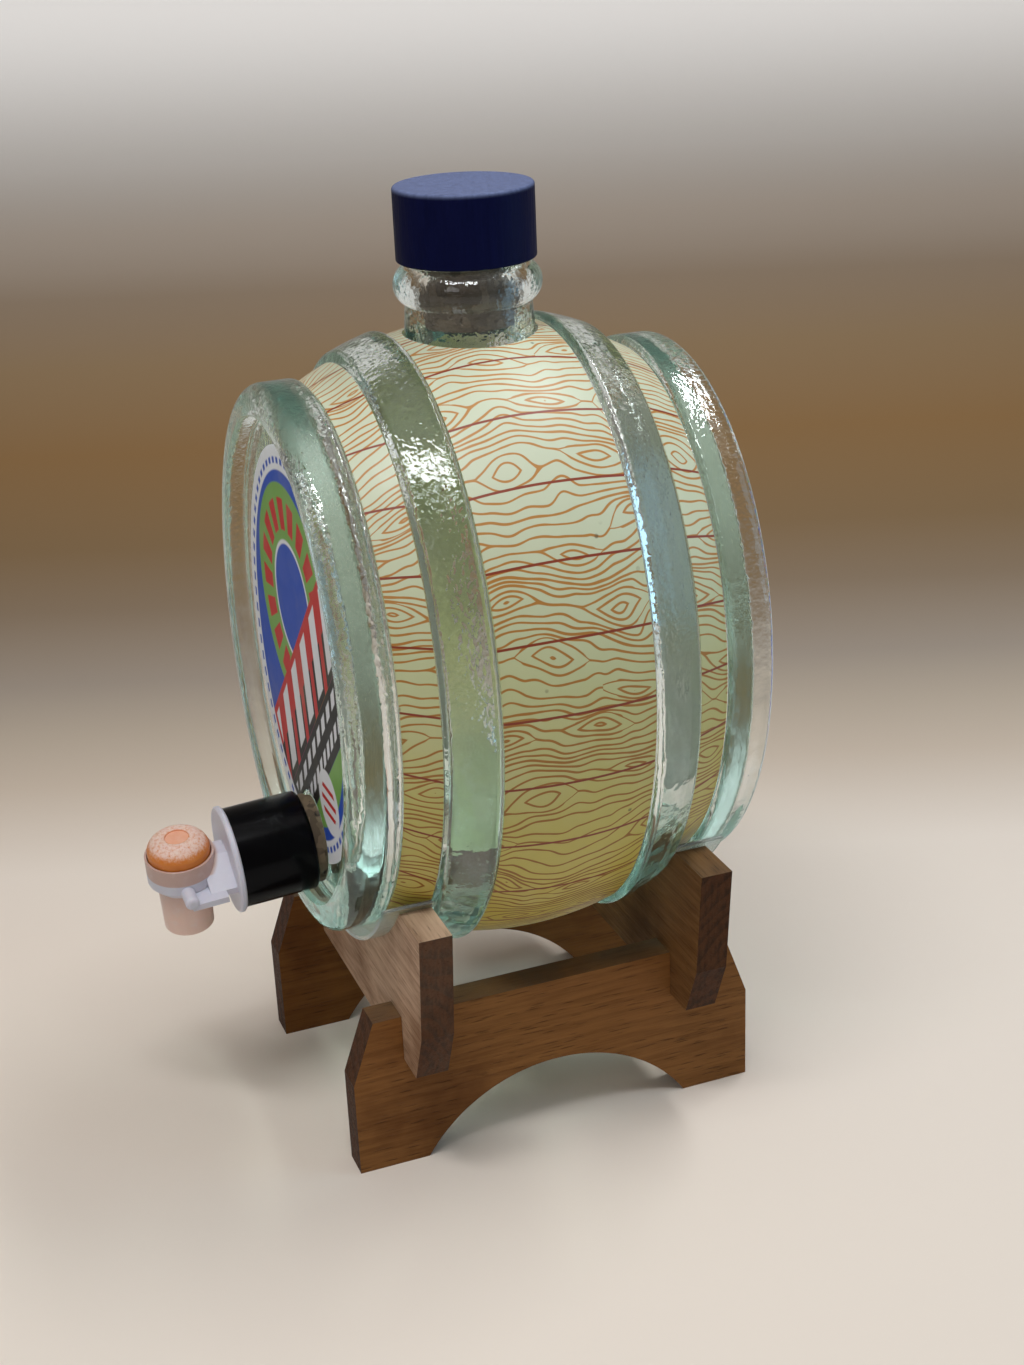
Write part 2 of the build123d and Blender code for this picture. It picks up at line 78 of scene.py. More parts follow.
class Look:
    """One material and its nodes. Any input takes a number, a colour, a vector or another node's socket."""

    def __init__(self, name):
        self.material = bpy.data.materials.new(name)
        self.material.use_nodes = True
        self.tree = self.material.node_tree
        self.tree.nodes.clear()
        self.output = self.tree.nodes.new("ShaderNodeOutputMaterial")
        self.place = self.tree.nodes.new("ShaderNodeTexCoord").outputs["Object"]

    def node(self, kind, inputs=(), **settings):
        made = self.tree.nodes.new("ShaderNode" + kind)
        for key, value in settings.items():
            setattr(made, key, value)
        for key, value in dict(inputs).items():
            self.put(made.inputs[key], value)
        return made

    def put(self, socket, value):
        if value is None:
            return
        if isinstance(value, bpy.types.NodeSocket):
            self.tree.links.new(value, socket)
        elif isinstance(value, (tuple, list)) and len(value) == 3 and len(socket.default_value) == 4:
            socket.default_value = (*value, 1.0)
        else:
            socket.default_value = value

    def math(self, operation, a, b=None):
        made = self.tree.nodes.new("ShaderNodeMath")
        made.operation = operation
        for socket, value in zip(made.inputs, (a, b)):
            self.put(socket, value)
        return made.outputs[0]

    def add(self, a, b):
        return self.math("ADD", a, b)

    def sub(self, a, b):
        return self.math("SUBTRACT", a, b)

    def mul(self, a, b):
        return self.math("MULTIPLY", a, b)

    def vector(self, x, y, z=0.0):
        made = self.node("CombineXYZ", {"X": x, "Y": y, "Z": z})
        return made.outputs[0]

    def xyz(self, vector=None):
        made = self.node("SeparateXYZ", {0: vector or self.place})
        return made.outputs

    def facing(self):
        """Parts of the surface's own direction along X, Y and Z."""
        return self.xyz(self.node("TexCoord").outputs["Normal"])

    def scaled(self, factors, offset=(0, 0, 0)):
        made = self.node("Mapping", {"Vector": self.place, "Scale": factors, "Location": offset})
        return made.outputs[0]

    def on_tap(self):
        """Place in the tap's own axes: -Y along the bung, Z up through the cup."""
        made = self.node(
            "Mapping",
            {"Vector": self.place, "Location": TAP_PLACE, "Rotation": tuple(tap_turned().to_euler())},
            vector_type="TEXTURE",
        )
        return self.xyz(made.outputs[0])

    def noise(self, scale, vector=None, detail=2.0, roughness=0.5):
        made = self.node(
            "TexNoise",
            {"Vector": vector or self.place, "Scale": scale, "Detail": detail, "Roughness": roughness},
        )
        return made.outputs["Fac"]

    def cells(self, scale, vector=None, output="Distance"):
        made = self.node("TexVoronoi", {"Vector": vector or self.place, "Scale": scale})
        return made.outputs[output]

    def chance(self, vector):
        """Three random shares for a whole-numbered vector."""
        made = self.node("TexWhiteNoise", {"Vector": vector}, noise_dimensions="3D")
        return made.outputs["Color"]

    def step(self, value, start, end, low=0.0, high=1.0):
        """Smooth step of value from start to end."""
        made = self.node(
            "MapRange",
            {"Value": value, "From Min": start, "From Max": end, "To Min": low, "To Max": high},
            interpolation_type="SMOOTHSTEP",
        )
        return made.outputs[0]

    def mix(self, factor, a, b):
        made = self.tree.nodes.new("ShaderNodeMix")
        made.data_type = "RGBA"
        self.put(made.inputs[0], factor)
        self.put(made.inputs[6], a)
        self.put(made.inputs[7], b)
        return made.outputs[2]

    def ramp(self, factor, stops):
        made = self.tree.nodes.new("ShaderNodeValToRGB")
        self.put(made.inputs[0], factor)
        elements = made.color_ramp.elements
        while len(elements) < len(stops):
            elements.new(0.5)
        for element, (position, colour) in zip(elements, stops):
            element.position = position
            element.color = (*colour, 1.0)
        return made.outputs[0]

    def bump(self, height, distance, strength=1.0, normal=None):
        made = self.node(
            "Bump",
            {"Height": height, "Distance": distance, "Strength": strength, "Normal": normal},
        )
        return made.outputs[0]

    def surface(self, **inputs):
        """The Principled shader, whose inputs are named with _ for a space."""
        made = self.tree.nodes.new("ShaderNodeBsdfPrincipled")
        for key, value in inputs.items():
            self.put(made.inputs[key.replace("_", " ")], value)
        self.tree.links.new(made.outputs[0], self.output.inputs["Surface"])
        return made

    def dress(self, *nodes):
        for name in nodes:
            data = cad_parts[name].data
            data.materials.clear()
            data.materials.append(self.material)


# Glass of the barrel: clear, slightly uneven, with a green tint that deepens with thickness
glass = Look("barrel_glass")
waves = glass.noise(38.0, detail=1.5, roughness=0.4)
ripples = glass.noise(150.0, detail=1.0)
seeds = glass.step(glass.cells(260.0), 0.05, 0.12)
uneven = glass.bump(waves, 0.0020, 0.5)
uneven = glass.bump(ripples, 0.0004, 0.5, uneven)
# the upper side is the roughest, and its highlights break up into sparks
upper = glass.step(glass.xyz()[2], 0.135, 0.175, 0.10, 0.70)
uneven = glass.bump(glass.noise(620.0, detail=1.0), 0.00025, upper, uneven)
uneven = glass.bump(seeds, 0.0001, 0.25, uneven)
# the glass is tinted teal, more deeply towards the foot
less_teal = glass.step(glass.xyz()[2], 0.062, 0.112)
clear = glass.surface(
    Base_Color=glass.mix(less_teal, (0.70, 0.90, 0.85), (0.985, 0.996, 0.988)),
    Roughness=0.012,
    IOR=1.5,
    Transmission_Weight=1.0,
    Normal=uneven,
)
# lamps shine through the glass
through = glass.node("BsdfTransparent", {"Color": (0.96, 0.975, 0.96)})
shadow_ray = glass.node("LightPath").outputs["Is Shadow Ray"]
both = glass.node("MixShader", {0: shadow_ray, 1: clear.outputs[0], 2: through.outputs[0]})
glass.put(glass.output.inputs["Surface"], both.outputs[0])
tint = glass.node("VolumeAbsorption", {"Color": (0.40, 0.86, 0.78), "Density": 6.0})
glass.put(glass.output.inputs["Volume"], tint.outputs[0])
glass.dress("glass_barrel")


def printed_wood(name, seed, stave_width, stave_offset, slant, *nodes):
    """Printed wood grain on a paper band: even contour lines of a field along the staves, and stave lines."""
    look = Look(name)
    x, y, z = look.xyz()
    lifted = look.math("DIVIDE", look.sub(z, AXIS_Z), STRETCH)
    angle = look.math("ARCTAN2", x, lifted)
    # share of the way round, corrected for the oval, in radians of mean radius
    swing = look.mul(look.math("SINE", look.mul(angle, 2.0)), OVAL_SWING)
    around = look.sub(look.mul(angle, OVAL_MEAN), swing)
    across = look.mul(around, BELLY)

    def field(along, over):
        """Number of the printed line at a place: lines run along the staves and part round pointed eyes."""
        coarse = look.vector(look.mul(along, 0.030), look.mul(over, 0.029), seed)
        drift = look.noise(1.0, coarse, detail=0.0)
        finer = look.vector(look.mul(along, 0.10), look.mul(over, 0.11), seed + 9.0)
        waver = look.noise(1.0, finer, detail=0.0)
        bent = look.add(over, look.mul(look.sub(drift, 0.5), 21.0))
        bent = look.add(bent, look.mul(look.sub(waver, 0.5), 3.4))
        in_rows = look.mul(bent, 1.0 / (6 * line_gap))
        row = look.math("FLOOR", in_rows)
        in_row = look.add(look.mul(along, 1.0 / eye_gap), look.mul(row, 0.63))
        column = look.math("FLOOR", in_row)
        first = look.xyz(look.chance(look.vector(column, row, seed)))
        second = look.xyz(look.chance(look.vector(column, row, seed + 0.5)))
        lane = look.sub(look.math("FLOOR", look.mul(first[0], 3.0)), 1.0)
        beside = look.sub(look.sub(in_row, column), look.add(look.mul(first[1], 0.3), 0.35))
        above = look.sub(bent, look.mul(look.add(row, 0.5), 6 * line_gap))
        above = look.sub(above, look.mul(lane, line_gap))
        length = look.add(look.mul(second[0], 3.5), 8.0)
        height = look.add(look.mul(second[1], 2.2), 3.0)
        u = look.math("DIVIDE", look.mul(beside, eye_gap), length)
        v = look.math("ABSOLUTE", look.math("DIVIDE", above, height))
        # 1 on the outline of the eye, which has a point at each end
        out = look.math("SQRT", look.add(look.mul(v, v), look.mul(look.mul(u, u), 4.0)))
        out = look.mul(look.add(out, v), 0.5)
        edge = look.math("ABSOLUTE", look.sub(look.sub(in_rows, row), 0.5))
        side = look.math("ABSOLUTE", look.sub(look.sub(in_row, column), 0.5))
        fade = look.mul(look.step(edge, 0.5, 0.32), look.step(side, 0.5, 0.30))
        shown = look.math("LESS_THAN", first[2], 0.93)
        push = look.mul(above, look.math("MINIMUM", 1.0, look.math("POWER", out, -1.7)))
        push = look.mul(push, look.mul(fade, shown))
        outside = look.mul(look.sub(bent, push), 1.0 / line_gap)
        inside = look.add(look.mul(look.sub(1.0, out), look.mul(height, 1.0 / loop_gap)), 100.0)
        within = look.mul(look.math("LESS_THAN", out, 1.0), shown)
        return look.add(outside, look.mul(within, look.sub(inside, outside)))

    # millimetres along the band and over the staves
    line_gap, loop_gap, eye_gap = 3.1, 1.9, 27.0
    along, over = look.mul(y, 1000.0), look.mul(across, 1000.0)
    reach = 0.06
    here = field(along, over)
    slope_along = look.math("DIVIDE", look.sub(field(look.add(along, reach), over), here), reach)
    slope_over = look.math("DIVIDE", look.sub(field(along, look.add(over, reach)), here), reach)
    steep = look.math("SQRT", look.add(look.mul(slope_along, slope_along), look.mul(slope_over, slope_over)))
    steep = look.math("MINIMUM", look.math("MAXIMUM", steep, 0.09), 1.6)
    part = look.math("FRACT", here)
    apart = look.math("DIVIDE", look.math("MINIMUM", part, look.sub(1.0, part)), steep)
    half_width = look.step(look.noise(150.0, detail=1.0), 0.3, 0.7, 0.27, 0.38)
    grain = look.step(look.sub(apart, half_width), 0.07, -0.07)

    stave = look.add(look.math("DIVIDE", around, stave_width), look.add(look.mul(y, slant), stave_offset))
    stave = look.add(stave, look.mul(look.sub(look.noise(22.0, detail=0.0), 0.5), 0.05))
    stave_gap = look.sub(0.5, look.math("ABSOLUTE", look.sub(look.math("FRACT", stave), 0.5)))
    stave_line = look.step(stave_gap, 0.023, 0.013)

    # painted light and shade: the ground and the ink are paler towards the top, as if lit from above, and
    # darker ochre towards the foot
    foot = look.step(z, 0.060, 0.225)
    ground = look.ramp(
        foot,
        [
            (0.0, (0.60, 0.46, 0.075)),
            (0.35, (0.56, 0.49, 0.135)),
            (0.7, (0.55, 0.57, 0.31)),
            (1.0, (0.58, 0.62, 0.46)),
        ],
    )
    cloud = look.noise(30.0, detail=3.0)
    ground = look.mix(look.step(cloud, 0.4, 0.75, 0.0, 0.25), ground, (0.62, 0.64, 0.46))
    ink = look.mix(foot, (0.26, 0.082, 0.002), (0.46, 0.175, 0.012))
    colour = look.mix(look.mul(grain, 0.92), ground, ink)
    colour = look.mix(stave_line, colour, (0.25, 0.038, 0.012))
    specks = look.mul(look.step(look.cells(130.0), 0.11, 0.06), look.step(look.noise(45.0), 0.60, 0.66))
    colour = look.mix(look.mul(specks, 0.75), colour, (0.10, 0.075, 0.04))
    # the printed side faces out; the bare paper seen through the glass is olive, painted brighter towards the
    # top and darker towards the foot, a painted glow standing in for light shining through the paper
    facing = look.facing()
    outward = look.add(look.mul(facing[0], x), look.mul(facing[2], look.sub(z, AXIS_Z)))
    back = look.mix(look.step(z, 0.075, 0.150), (0.36, 0.30, 0.155), (0.80, 0.74, 0.35))
    back = look.mix(look.step(z, 0.150, 0.190), back, (1.0, 0.95, 0.44))
    back = look.mix(look.step(look.noise(55.0, detail=3.0), 0.3, 0.7, 0.0, 0.12), back, (0.40, 0.38, 0.20))
    colour = look.mix(look.step(outward, -0.01, 0.0), back, colour)
    relief = look.bump(look.noise(420.0, detail=2.0), 0.00008, 0.5)
    look.surface(
        Base_Color=colour,
        Roughness=look.step(cloud, 0.3, 0.7, 0.36, 0.5),
        Specular_IOR_Level=0.5,
        Normal=relief,
    )
    look.dress(*nodes)


printed_wood("centre_print", 3.0, 0.2741, -0.237, 0.0, "centre_label")
printed_wood("front_print", 41.0, 0.2748, -0.51, -12.0, "front_band_label")
printed_wood("rear_print", 90.0, 0.2758, -0.11, 0.0, "rear_band_label")


# Head labels: rings, a slanting panel of plain bars and a green ground
def head_print(name, *nodes):
    look = Look(name)
    x, y, z = look.xyz()
    # each label reads the same way round from outside
    u = look.math("DIVIDE", look.mul(x, look.mul(look.math("SIGN", y), -1.0)), HEAD_A)
    v = look.math("DIVIDE", look.sub(z, HEAD_Z), HEAD_B)
    radius = look.math("SQRT", look.add(look.mul(u, u), look.mul(v, v)))
    angle = look.math("ARCTAN2", u, v)
    white = (0.82, 0.84, 0.88)
    red = (0.60, 0.025, 0.025)
    blue = (0.020, 0.085, 0.50)
    green = (0.20, 0.42, 0.09)
    black = (0.008, 0.007, 0.007)
    edge = 0.006

    def disc(limit):
        return look.step(radius, limit + edge, limit - edge)

    def between(value, low, high):
        return look.mul(look.step(value, low - edge, low + edge), look.step(value, high + edge, high - edge))

    def blocks(distance, direction, count, low, high, share):
        """Plain blocks on a ring."""
        part = look.math("FRACT", look.mul(direction, count / (2 * math.pi)))
        side = look.math("ABSOLUTE", look.sub(part, 0.5))
        return look.mul(between(distance, low, high), look.step(side, share / 2 + 0.03, share / 2 - 0.03))

    def round_place(u_place, v_place):
        """Distance and direction from a place on the label, in heights of it."""
        side = look.mul(look.sub(u, u_place), HEAD_A / HEAD_B)
        up = look.sub(v, v_place)
        distance = look.math("SQRT", look.add(look.mul(side, side), look.mul(up, up)))
        return distance, look.math("ARCTAN2", side, up)

    # a blue disc in a green ring of plain blocks, a slanting panel of plain bars, and a green ground
    from_disc, disc_angle = round_place(-0.04, 0.26)
    from_oval, oval_angle = round_place(0.40, -0.60)
    lean = look.sub(v, look.mul(u, 0.80))
    bars = look.math("FRACT", look.add(look.mul(u, 3.4), look.mul(v, 0.7)))
    printed = disc(0.885)
    colour = look.mix(blocks(radius, angle, 70, 0.915, 0.945, 0.55), white, blue)
    colour = look.mix(printed, colour, blue)
    colour = look.mix(between(from_disc, -1.0, 0.56), colour, green)
    colour = look.mix(blocks(from_disc, disc_angle, 18, 0.34, 0.49, 0.62), colour, red)
    colour = look.mix(between(from_disc, -1.0, 0.295), colour, white)
    colour = look.mix(between(from_disc, -1.0, 0.275), colour, blue)
    colour = look.mix(look.mul(between(lean, -2.0, -0.8), disc(0.82)), colour, green)
    colour = look.mix(look.mul(between(lean, -0.80, -0.44), printed), colour, black)
    for low, count in ((-0.57, 8.0), (-0.73, 11.0)):
        signs = look.math("FRACT", look.mul(u, count))
        row = look.mul(between(lean, low, low + 0.08), look.mul(between(signs, 0.0, 0.6), disc(0.84)))
        colour = look.mix(row, colour, white)
    colour = look.mix(look.mul(between(lean, -0.44, 0.10), printed), colour, red)
    bar_shade = look.mul(between(lean, -0.44, -0.16), look.mul(between(bars, 0.0, 0.75), printed))
    colour = look.mix(bar_shade, colour, black)
    bar = look.mul(between(lean, -0.39, 0.05), look.mul(between(bars, 0.16, 0.64), disc(0.84)))
    colour = look.mix(bar, colour, white)
    colour = look.mix(look.step(from_oval, 0.166, 0.154), colour, white)
    ruled = between(look.math("FRACT", look.mul(v, 16.0)), 0.2, 0.6)
    colour = look.mix(look.mul(ruled, look.step(from_oval, 0.116, 0.104)), colour, red)
    tone = look.noise(60.0, detail=3.0)
    colour = look.mix(look.step(tone, 0.45, 0.8, 0.0, 0.18), colour, (0.55, 0.52, 0.40))
    outward = look.mul(look.facing()[1], look.math("SIGN", y))
    colour = look.mix(look.step(outward, -0.3, 0.0), (0.62, 0.62, 0.56), colour)
    look.surface(
        Base_Color=colour,
        Roughness=look.step(tone, 0.3, 0.7, 0.42, 0.55),
        Specular_IOR_Level=0.12,
        Normal=look.bump(look.noise(380.0), 0.00006, 0.4),
    )
    look.dress(*nodes)


head_print("head_print", "front_head_label", "rear_head_label")


# Stained wood: growth rings round a line below the board, fibres and pores along it
def stained_wood(node, along, centre, seed, pale, dark, grime):
    look = Look(node + "_wood")
    axes = look.xyz()
    other = [i for i in (0, 1, 2) if i != along]
    squeezed = look.scaled([1.0 if i == along else 4.0 for i in range(3)], offset=(seed, seed, seed))
    warp = look.noise(9.0, squeezed)
    first = look.sub(axes[other[0]], centre[0])
    second = look.sub(axes[other[1]], centre[1])
    first = look.add(first, look.mul(look.sub(warp, 0.5), 0.030))
    radius = look.math("SQRT", look.add(look.mul(first, first), look.mul(second, second)))
    rings = look.math("FRACT", look.mul(radius, 230.0))
    rings = look.mul(look.step(rings, 0.0, 0.75), look.step(rings, 1.0, 0.9))
    stretched = [1.0 if i == along else 22.0 for i in range(3)]
    fibres = look.noise(55.0, look.scaled(stretched), detail=4.0, roughness=0.65)
    pores = look.cells(1.0, look.scaled([110.0 if i == along else 1500.0 for i in range(3)]))
    pores = look.mul(look.step(pores, 0.34, 0.18), look.step(fibres, 0.42, 0.6))
    cloud = look.noise(28.0, detail=4.0, roughness=0.6)
    tone = look.add(look.add(look.mul(rings, 0.10), look.mul(fibres, 0.55)), look.mul(cloud, 0.35))
    colour = look.mix(look.step(tone, 0.25, 0.95), pale, dark)
    colour = look.mix(look.step(cloud, 0.48, 0.72, 0.0, 0.60), colour, dark)
    colour = look.mix(look.mul(pores, 0.5), colour, tuple(0.35 * c for c in dark))
    # dirt lies on the rails' tops, and cut ends drink more stain between their rings and rays
    facing = look.facing()
    dirt = look.mul(look.step(facing[2], 0.90, 0.97), look.step(cloud, 0.30, 0.60, grime / 2, grime))
    colour = look.mix(dirt, colour, (0.085, 0.066, 0.046))
    end = look.step(look.math("ABSOLUTE", facing[along]), 0.45, 0.75)
    rays = look.noise(900.0, look.scaled([0.2 if i == 2 else 1.0 for i in range(3)]), detail=3.0)
    end_grain = look.step(look.add(look.mul(rings, 0.25), rays), 0.35, 0.85)
    end_tone = look.mix(end_grain, (0.018, 0.005, 0.001), (0.070, 0.022, 0.006))
    colour = look.mix(look.mul(end, 0.88), colour, end_tone)
    height = look.add(look.mul(fibres, 0.6), look.mul(pores, -1.0))
    look.surface(
        Base_Color=colour,
        Roughness=look.step(fibres, 0.3, 0.7, 0.48, 0.66),
        Specular_IOR_Level=0.12,
        Normal=look.bump(height, 0.00025, 0.7),
    )
    look.dress(node)


stained_wood("left_rail", 1, (-0.075, -0.020), 2.0, (0.20, 0.078, 0.018), (0.080, 0.026, 0.005), 0.8)
stained_wood("right_rail", 1, (0.010, -0.045), 5.0, (0.27, 0.115, 0.032), (0.105, 0.035, 0.008), 0.8)
stained_wood("front_cradle", 0, (-0.075, 0.030), 8.0, (0.60, 0.40, 0.27), (0.18, 0.080, 0.032), 0.2)
stained_wood("rear_cradle", 0, (0.080, 0.020), 11.0, (0.22, 0.105, 0.038), (0.075, 0.028, 0.008), 0.4)

# Clear soft strips on the cradle
liner = Look("clear_liner")
liner.surface(
    Base_Color=liner.mix(liner.noise(120.0, detail=2.0), (0.80, 0.86, 0.82), (0.95, 0.97, 0.95)),
    Roughness=0.16,
    IOR=1.45,
    Transmission_Weight=0.85,
    Normal=liner.bump(liner.noise(260.0), 0.0002, 0.5),
)
liner.dress("front_cradle_liner", "rear_cradle_liner")

# Painted cap: matt dark blue over turned wood, with a painted sheen of paler blue on its top face
cap = Look("cap_paint")
grain = cap.noise(70.0, cap.scaled((9.0, 9.0, 1.0)), detail=4.0, roughness=0.7)
# painted sheen: the top face turns paler blue where the grain allows, standing in for the lamps' reflection
# there
top_painted_sheen = cap.step(cap.xyz()[2], CAP_TOP - 0.0016, CAP_TOP + 0.0001)
cap_tone = cap.mix(grain, (0.0006, 0.0016, 0.020), (0.0018, 0.004, 0.044))
cap_tone = cap.mix(cap.mul(top_painted_sheen, cap.step(grain, 0.30, 0.70, 0.50, 0.72)), cap_tone, (0.20, 0.245, 0.43))
cap.surface(
    Base_Color=cap_tone,
    Roughness=cap.step(grain, 0.3, 0.7, 0.40, 0.55),
    Specular_IOR_Level=0.08,
    Normal=cap.bump(grain, 0.00022, 0.6),
)
cap.dress("stopper_cap")


def cork_look(name, pale, dark, *nodes):
    look = Look(name)
    crumbs = look.cells(420.0, output="Color")
    tone = look.node("SeparateColor", {0: crumbs}).outputs[0]
    colour = look.mix(tone, pale, dark)
    patches = look.step(look.noise(120.0, detail=3.0), 0.45, 0.6)
    pits = look.mul(look.step(look.cells(230.0), 0.30, 0.16), patches)
    colour = look.mix(pits, colour, (0.009, 0.006, 0.004))
    height = look.add(look.mul(tone, 0.3), look.mul(pits, -1.0))
    look.surface(Base_Color=colour, Roughness=0.8, Normal=look.bump(height, 0.0005, 0.8))
    look.dress(*nodes)


cork_look("stopper_cork_look", (0.12, 0.087, 0.058), (0.05, 0.034, 0.022), "stopper_cork")
cork_look("tap_cork_look", (0.16, 0.112, 0.064), (0.062, 0.040, 0.022), "tap_cork")

# Black sleeve
sleeve = Look("sleeve_look")
scuffs = sleeve.noise(160.0, sleeve.scaled((1.0, 0.25, 1.0)), detail=4.0)
sleeve.surface(
    Base_Color=sleeve.mix(scuffs, (0.0008, 0.0008, 0.0012), (0.002, 0.002, 0.003)),
    Roughness=sleeve.step(scuffs, 0.3, 0.75, 0.12, 0.24),
    Specular_IOR_Level=0.10,
    Normal=sleeve.bump(scuffs, 0.00008, 0.3),
)
sleeve.dress("tap_sleeve")

# White moulding of the tap, with painted shade in the cup and the spout, which are warmer and darker, most of
# all low down
moulding = Look("tap_moulding")
mx, my, mz = moulding.on_tap()
speckle = moulding.noise(300.0, detail=3.0)
cup_y = moulding.add(my, CUP_FRONT)
cup_radius = moulding.math("SQRT", moulding.add(moulding.mul(mx, mx), moulding.mul(cup_y, cup_y)))
# painted shade: the cup and the spout, not the wings, are warmer and darker than the lit moulding
cup_painted_shade = moulding.step(cup_radius, 0.0118, 0.0104)
wings = moulding.mul(moulding.step(mz, 0.0022, 0.0018), moulding.step(mz, -0.0040, -0.0036))
cup_painted_shade = moulding.mul(cup_painted_shade, moulding.sub(1.0, moulding.mul(wings, moulding.step(cup_radius, 0.0079, 0.0083))))
# painted shade, deeper towards the foot of the spout
low = moulding.step(mz, 0.0, -0.014)
cup_shade_tone = moulding.mix(low, (0.58, 0.40, 0.35), (0.92, 0.66, 0.56))
white_tone = moulding.mix(cup_painted_shade, (0.66, 0.65, 0.74), cup_shade_tone)
white_tone = moulding.mix(moulding.step(speckle, 0.5, 0.8, 0.0, 0.2), white_tone, (0.84, 0.83, 0.88))
moulding.surface(
    Base_Color=white_tone,
    Roughness=0.34,
    Subsurface_Weight=0.25,
    Subsurface_Radius=(0.6, 0.35, 0.25),
    Subsurface_Scale=0.003,
    Normal=moulding.bump(speckle, 0.00008, 0.4),
)
moulding.dress("tap_body", "valve_stem")

# Orange button with a worn, chalky ring round its disc
button = Look("button_look")
bx, by, bz = button.on_tap()
from_axis = button.add(by, CUP_FRONT)
button_radius = button.math("SQRT", button.add(button.mul(bx, bx), button.mul(from_axis, from_axis)))
patches = button.noise(1100.0, detail=4.0, roughness=0.75)
high = button.step(bz, BUTTON_TOP - 0.0042, BUTTON_TOP - 0.0008)
ring = button.mul(high, button.step(button_radius, 0.0034, 0.0038))
chalk = button.mul(button.step(button.add(patches, button.mul(ring, 0.34)), 0.56, 0.92), ring)
orange = button.mix(button.noise(220.0), (0.62, 0.17, 0.018), (0.76, 0.26, 0.045))
disc_orange = button.mix(button.noise(420.0, detail=3.0), (0.88, 0.38, 0.22), (0.95, 0.55, 0.40))
orange = button.mix(button.step(button_radius, 0.0037, 0.0034), orange, disc_orange)
orange = button.mix(button.mul(chalk, 0.8), orange, (0.92, 0.76, 0.70))
button.surface(
    Base_Color=orange,
    Roughness=button.step(chalk, 0.0, 1.0, 0.38, 0.75),
    Subsurface_Weight=0.15,
    Subsurface_Radius=(0.8, 0.3, 0.1),
    Subsurface_Scale=0.002,
    Normal=button.bump(patches, 0.00012, 0.5),
)
button.dress("push_button")

# Rubber disc and steel spring inside the tap
rubber = Look("valve_rubber")
rubber_tone = rubber.noise(500.0, detail=2.0)
rubber.surface(
    Base_Color=rubber.mix(rubber_tone, (0.02, 0.02, 0.02), (0.045, 0.045, 0.045)),
    Roughness=0.6,
    Normal=rubber.bump(rubber_tone, 0.0001, 0.4),
)
rubber.dress("valve_disc")
steel = Look("spring_steel")
drawn = steel.noise(900.0, detail=2.0)
steel.surface(
    Base_Color=steel.mix(drawn, (0.50, 0.50, 0.50), (0.68, 0.68, 0.68)),
    Metallic=1.0,
    Roughness=0.28,
    Normal=steel.bump(drawn, 0.00005, 0.3),
)


def spring_coil():
    """The return spring as one tube helix along the cup."""
    placed = tap_turned()

    def in_frame(x, y, z):
        return Vector(TAP_PLACE) + placed @ Vector((x, y - CUP_FRONT, z))

    per_turn, sides = 36, 12
    steps = per_turn * SPRING_TURNS
    rise = (SPRING_TOP - SPRING_FOOT) / steps
    lead = math.atan2(SPRING_TOP - SPRING_FOOT, 2 * math.pi * SPRING_RADIUS * SPRING_TURNS)
    vertices, faces = [], []
    for step in range(steps + 1):
        turn = 2 * math.pi * step / per_turn
        height = SPRING_FOOT + rise * step
        for side in range(sides):
            share = 2 * math.pi * side / sides
            out = SPRING_RADIUS + SPRING_WIRE * math.cos(share)
            up = SPRING_WIRE * math.sin(share)
            # the ring of points stands square to the wire, which climbs by the lead angle
            back = up * math.sin(lead)
            x = out * math.cos(turn) + back * math.sin(turn)
            y = out * math.sin(turn) - back * math.cos(turn)
            vertices.append(in_frame(x, y, height + up * math.cos(lead)))
    for step in range(steps):
        for side in range(sides):
            low, next_low = step * sides + side, step * sides + (side + 1) % sides
            faces.append((low, next_low, next_low + sides, low + sides))
    faces.append(tuple(range(sides)))
    faces.append(tuple(reversed(range(steps * sides, (steps + 1) * sides))))
    mesh = bpy.data.meshes.new("spring_coil")
    mesh.from_pydata(vertices, [], faces)
    made = bmesh.new()
    made.from_mesh(mesh)
    bmesh.ops.recalc_face_normals(made, faces=made.faces)
    made.to_mesh(mesh)
    made.free()
    for face in mesh.polygons:
        face.use_smooth = len(face.vertices) == 4
    mesh.materials.append(steel.material)
    coil = bpy.data.objects.new("spring_coil", mesh)
    scene.collection.objects.link(coil)
    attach(coil, "tap")
    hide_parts("return_spring")
    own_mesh(coil)


spring_coil()


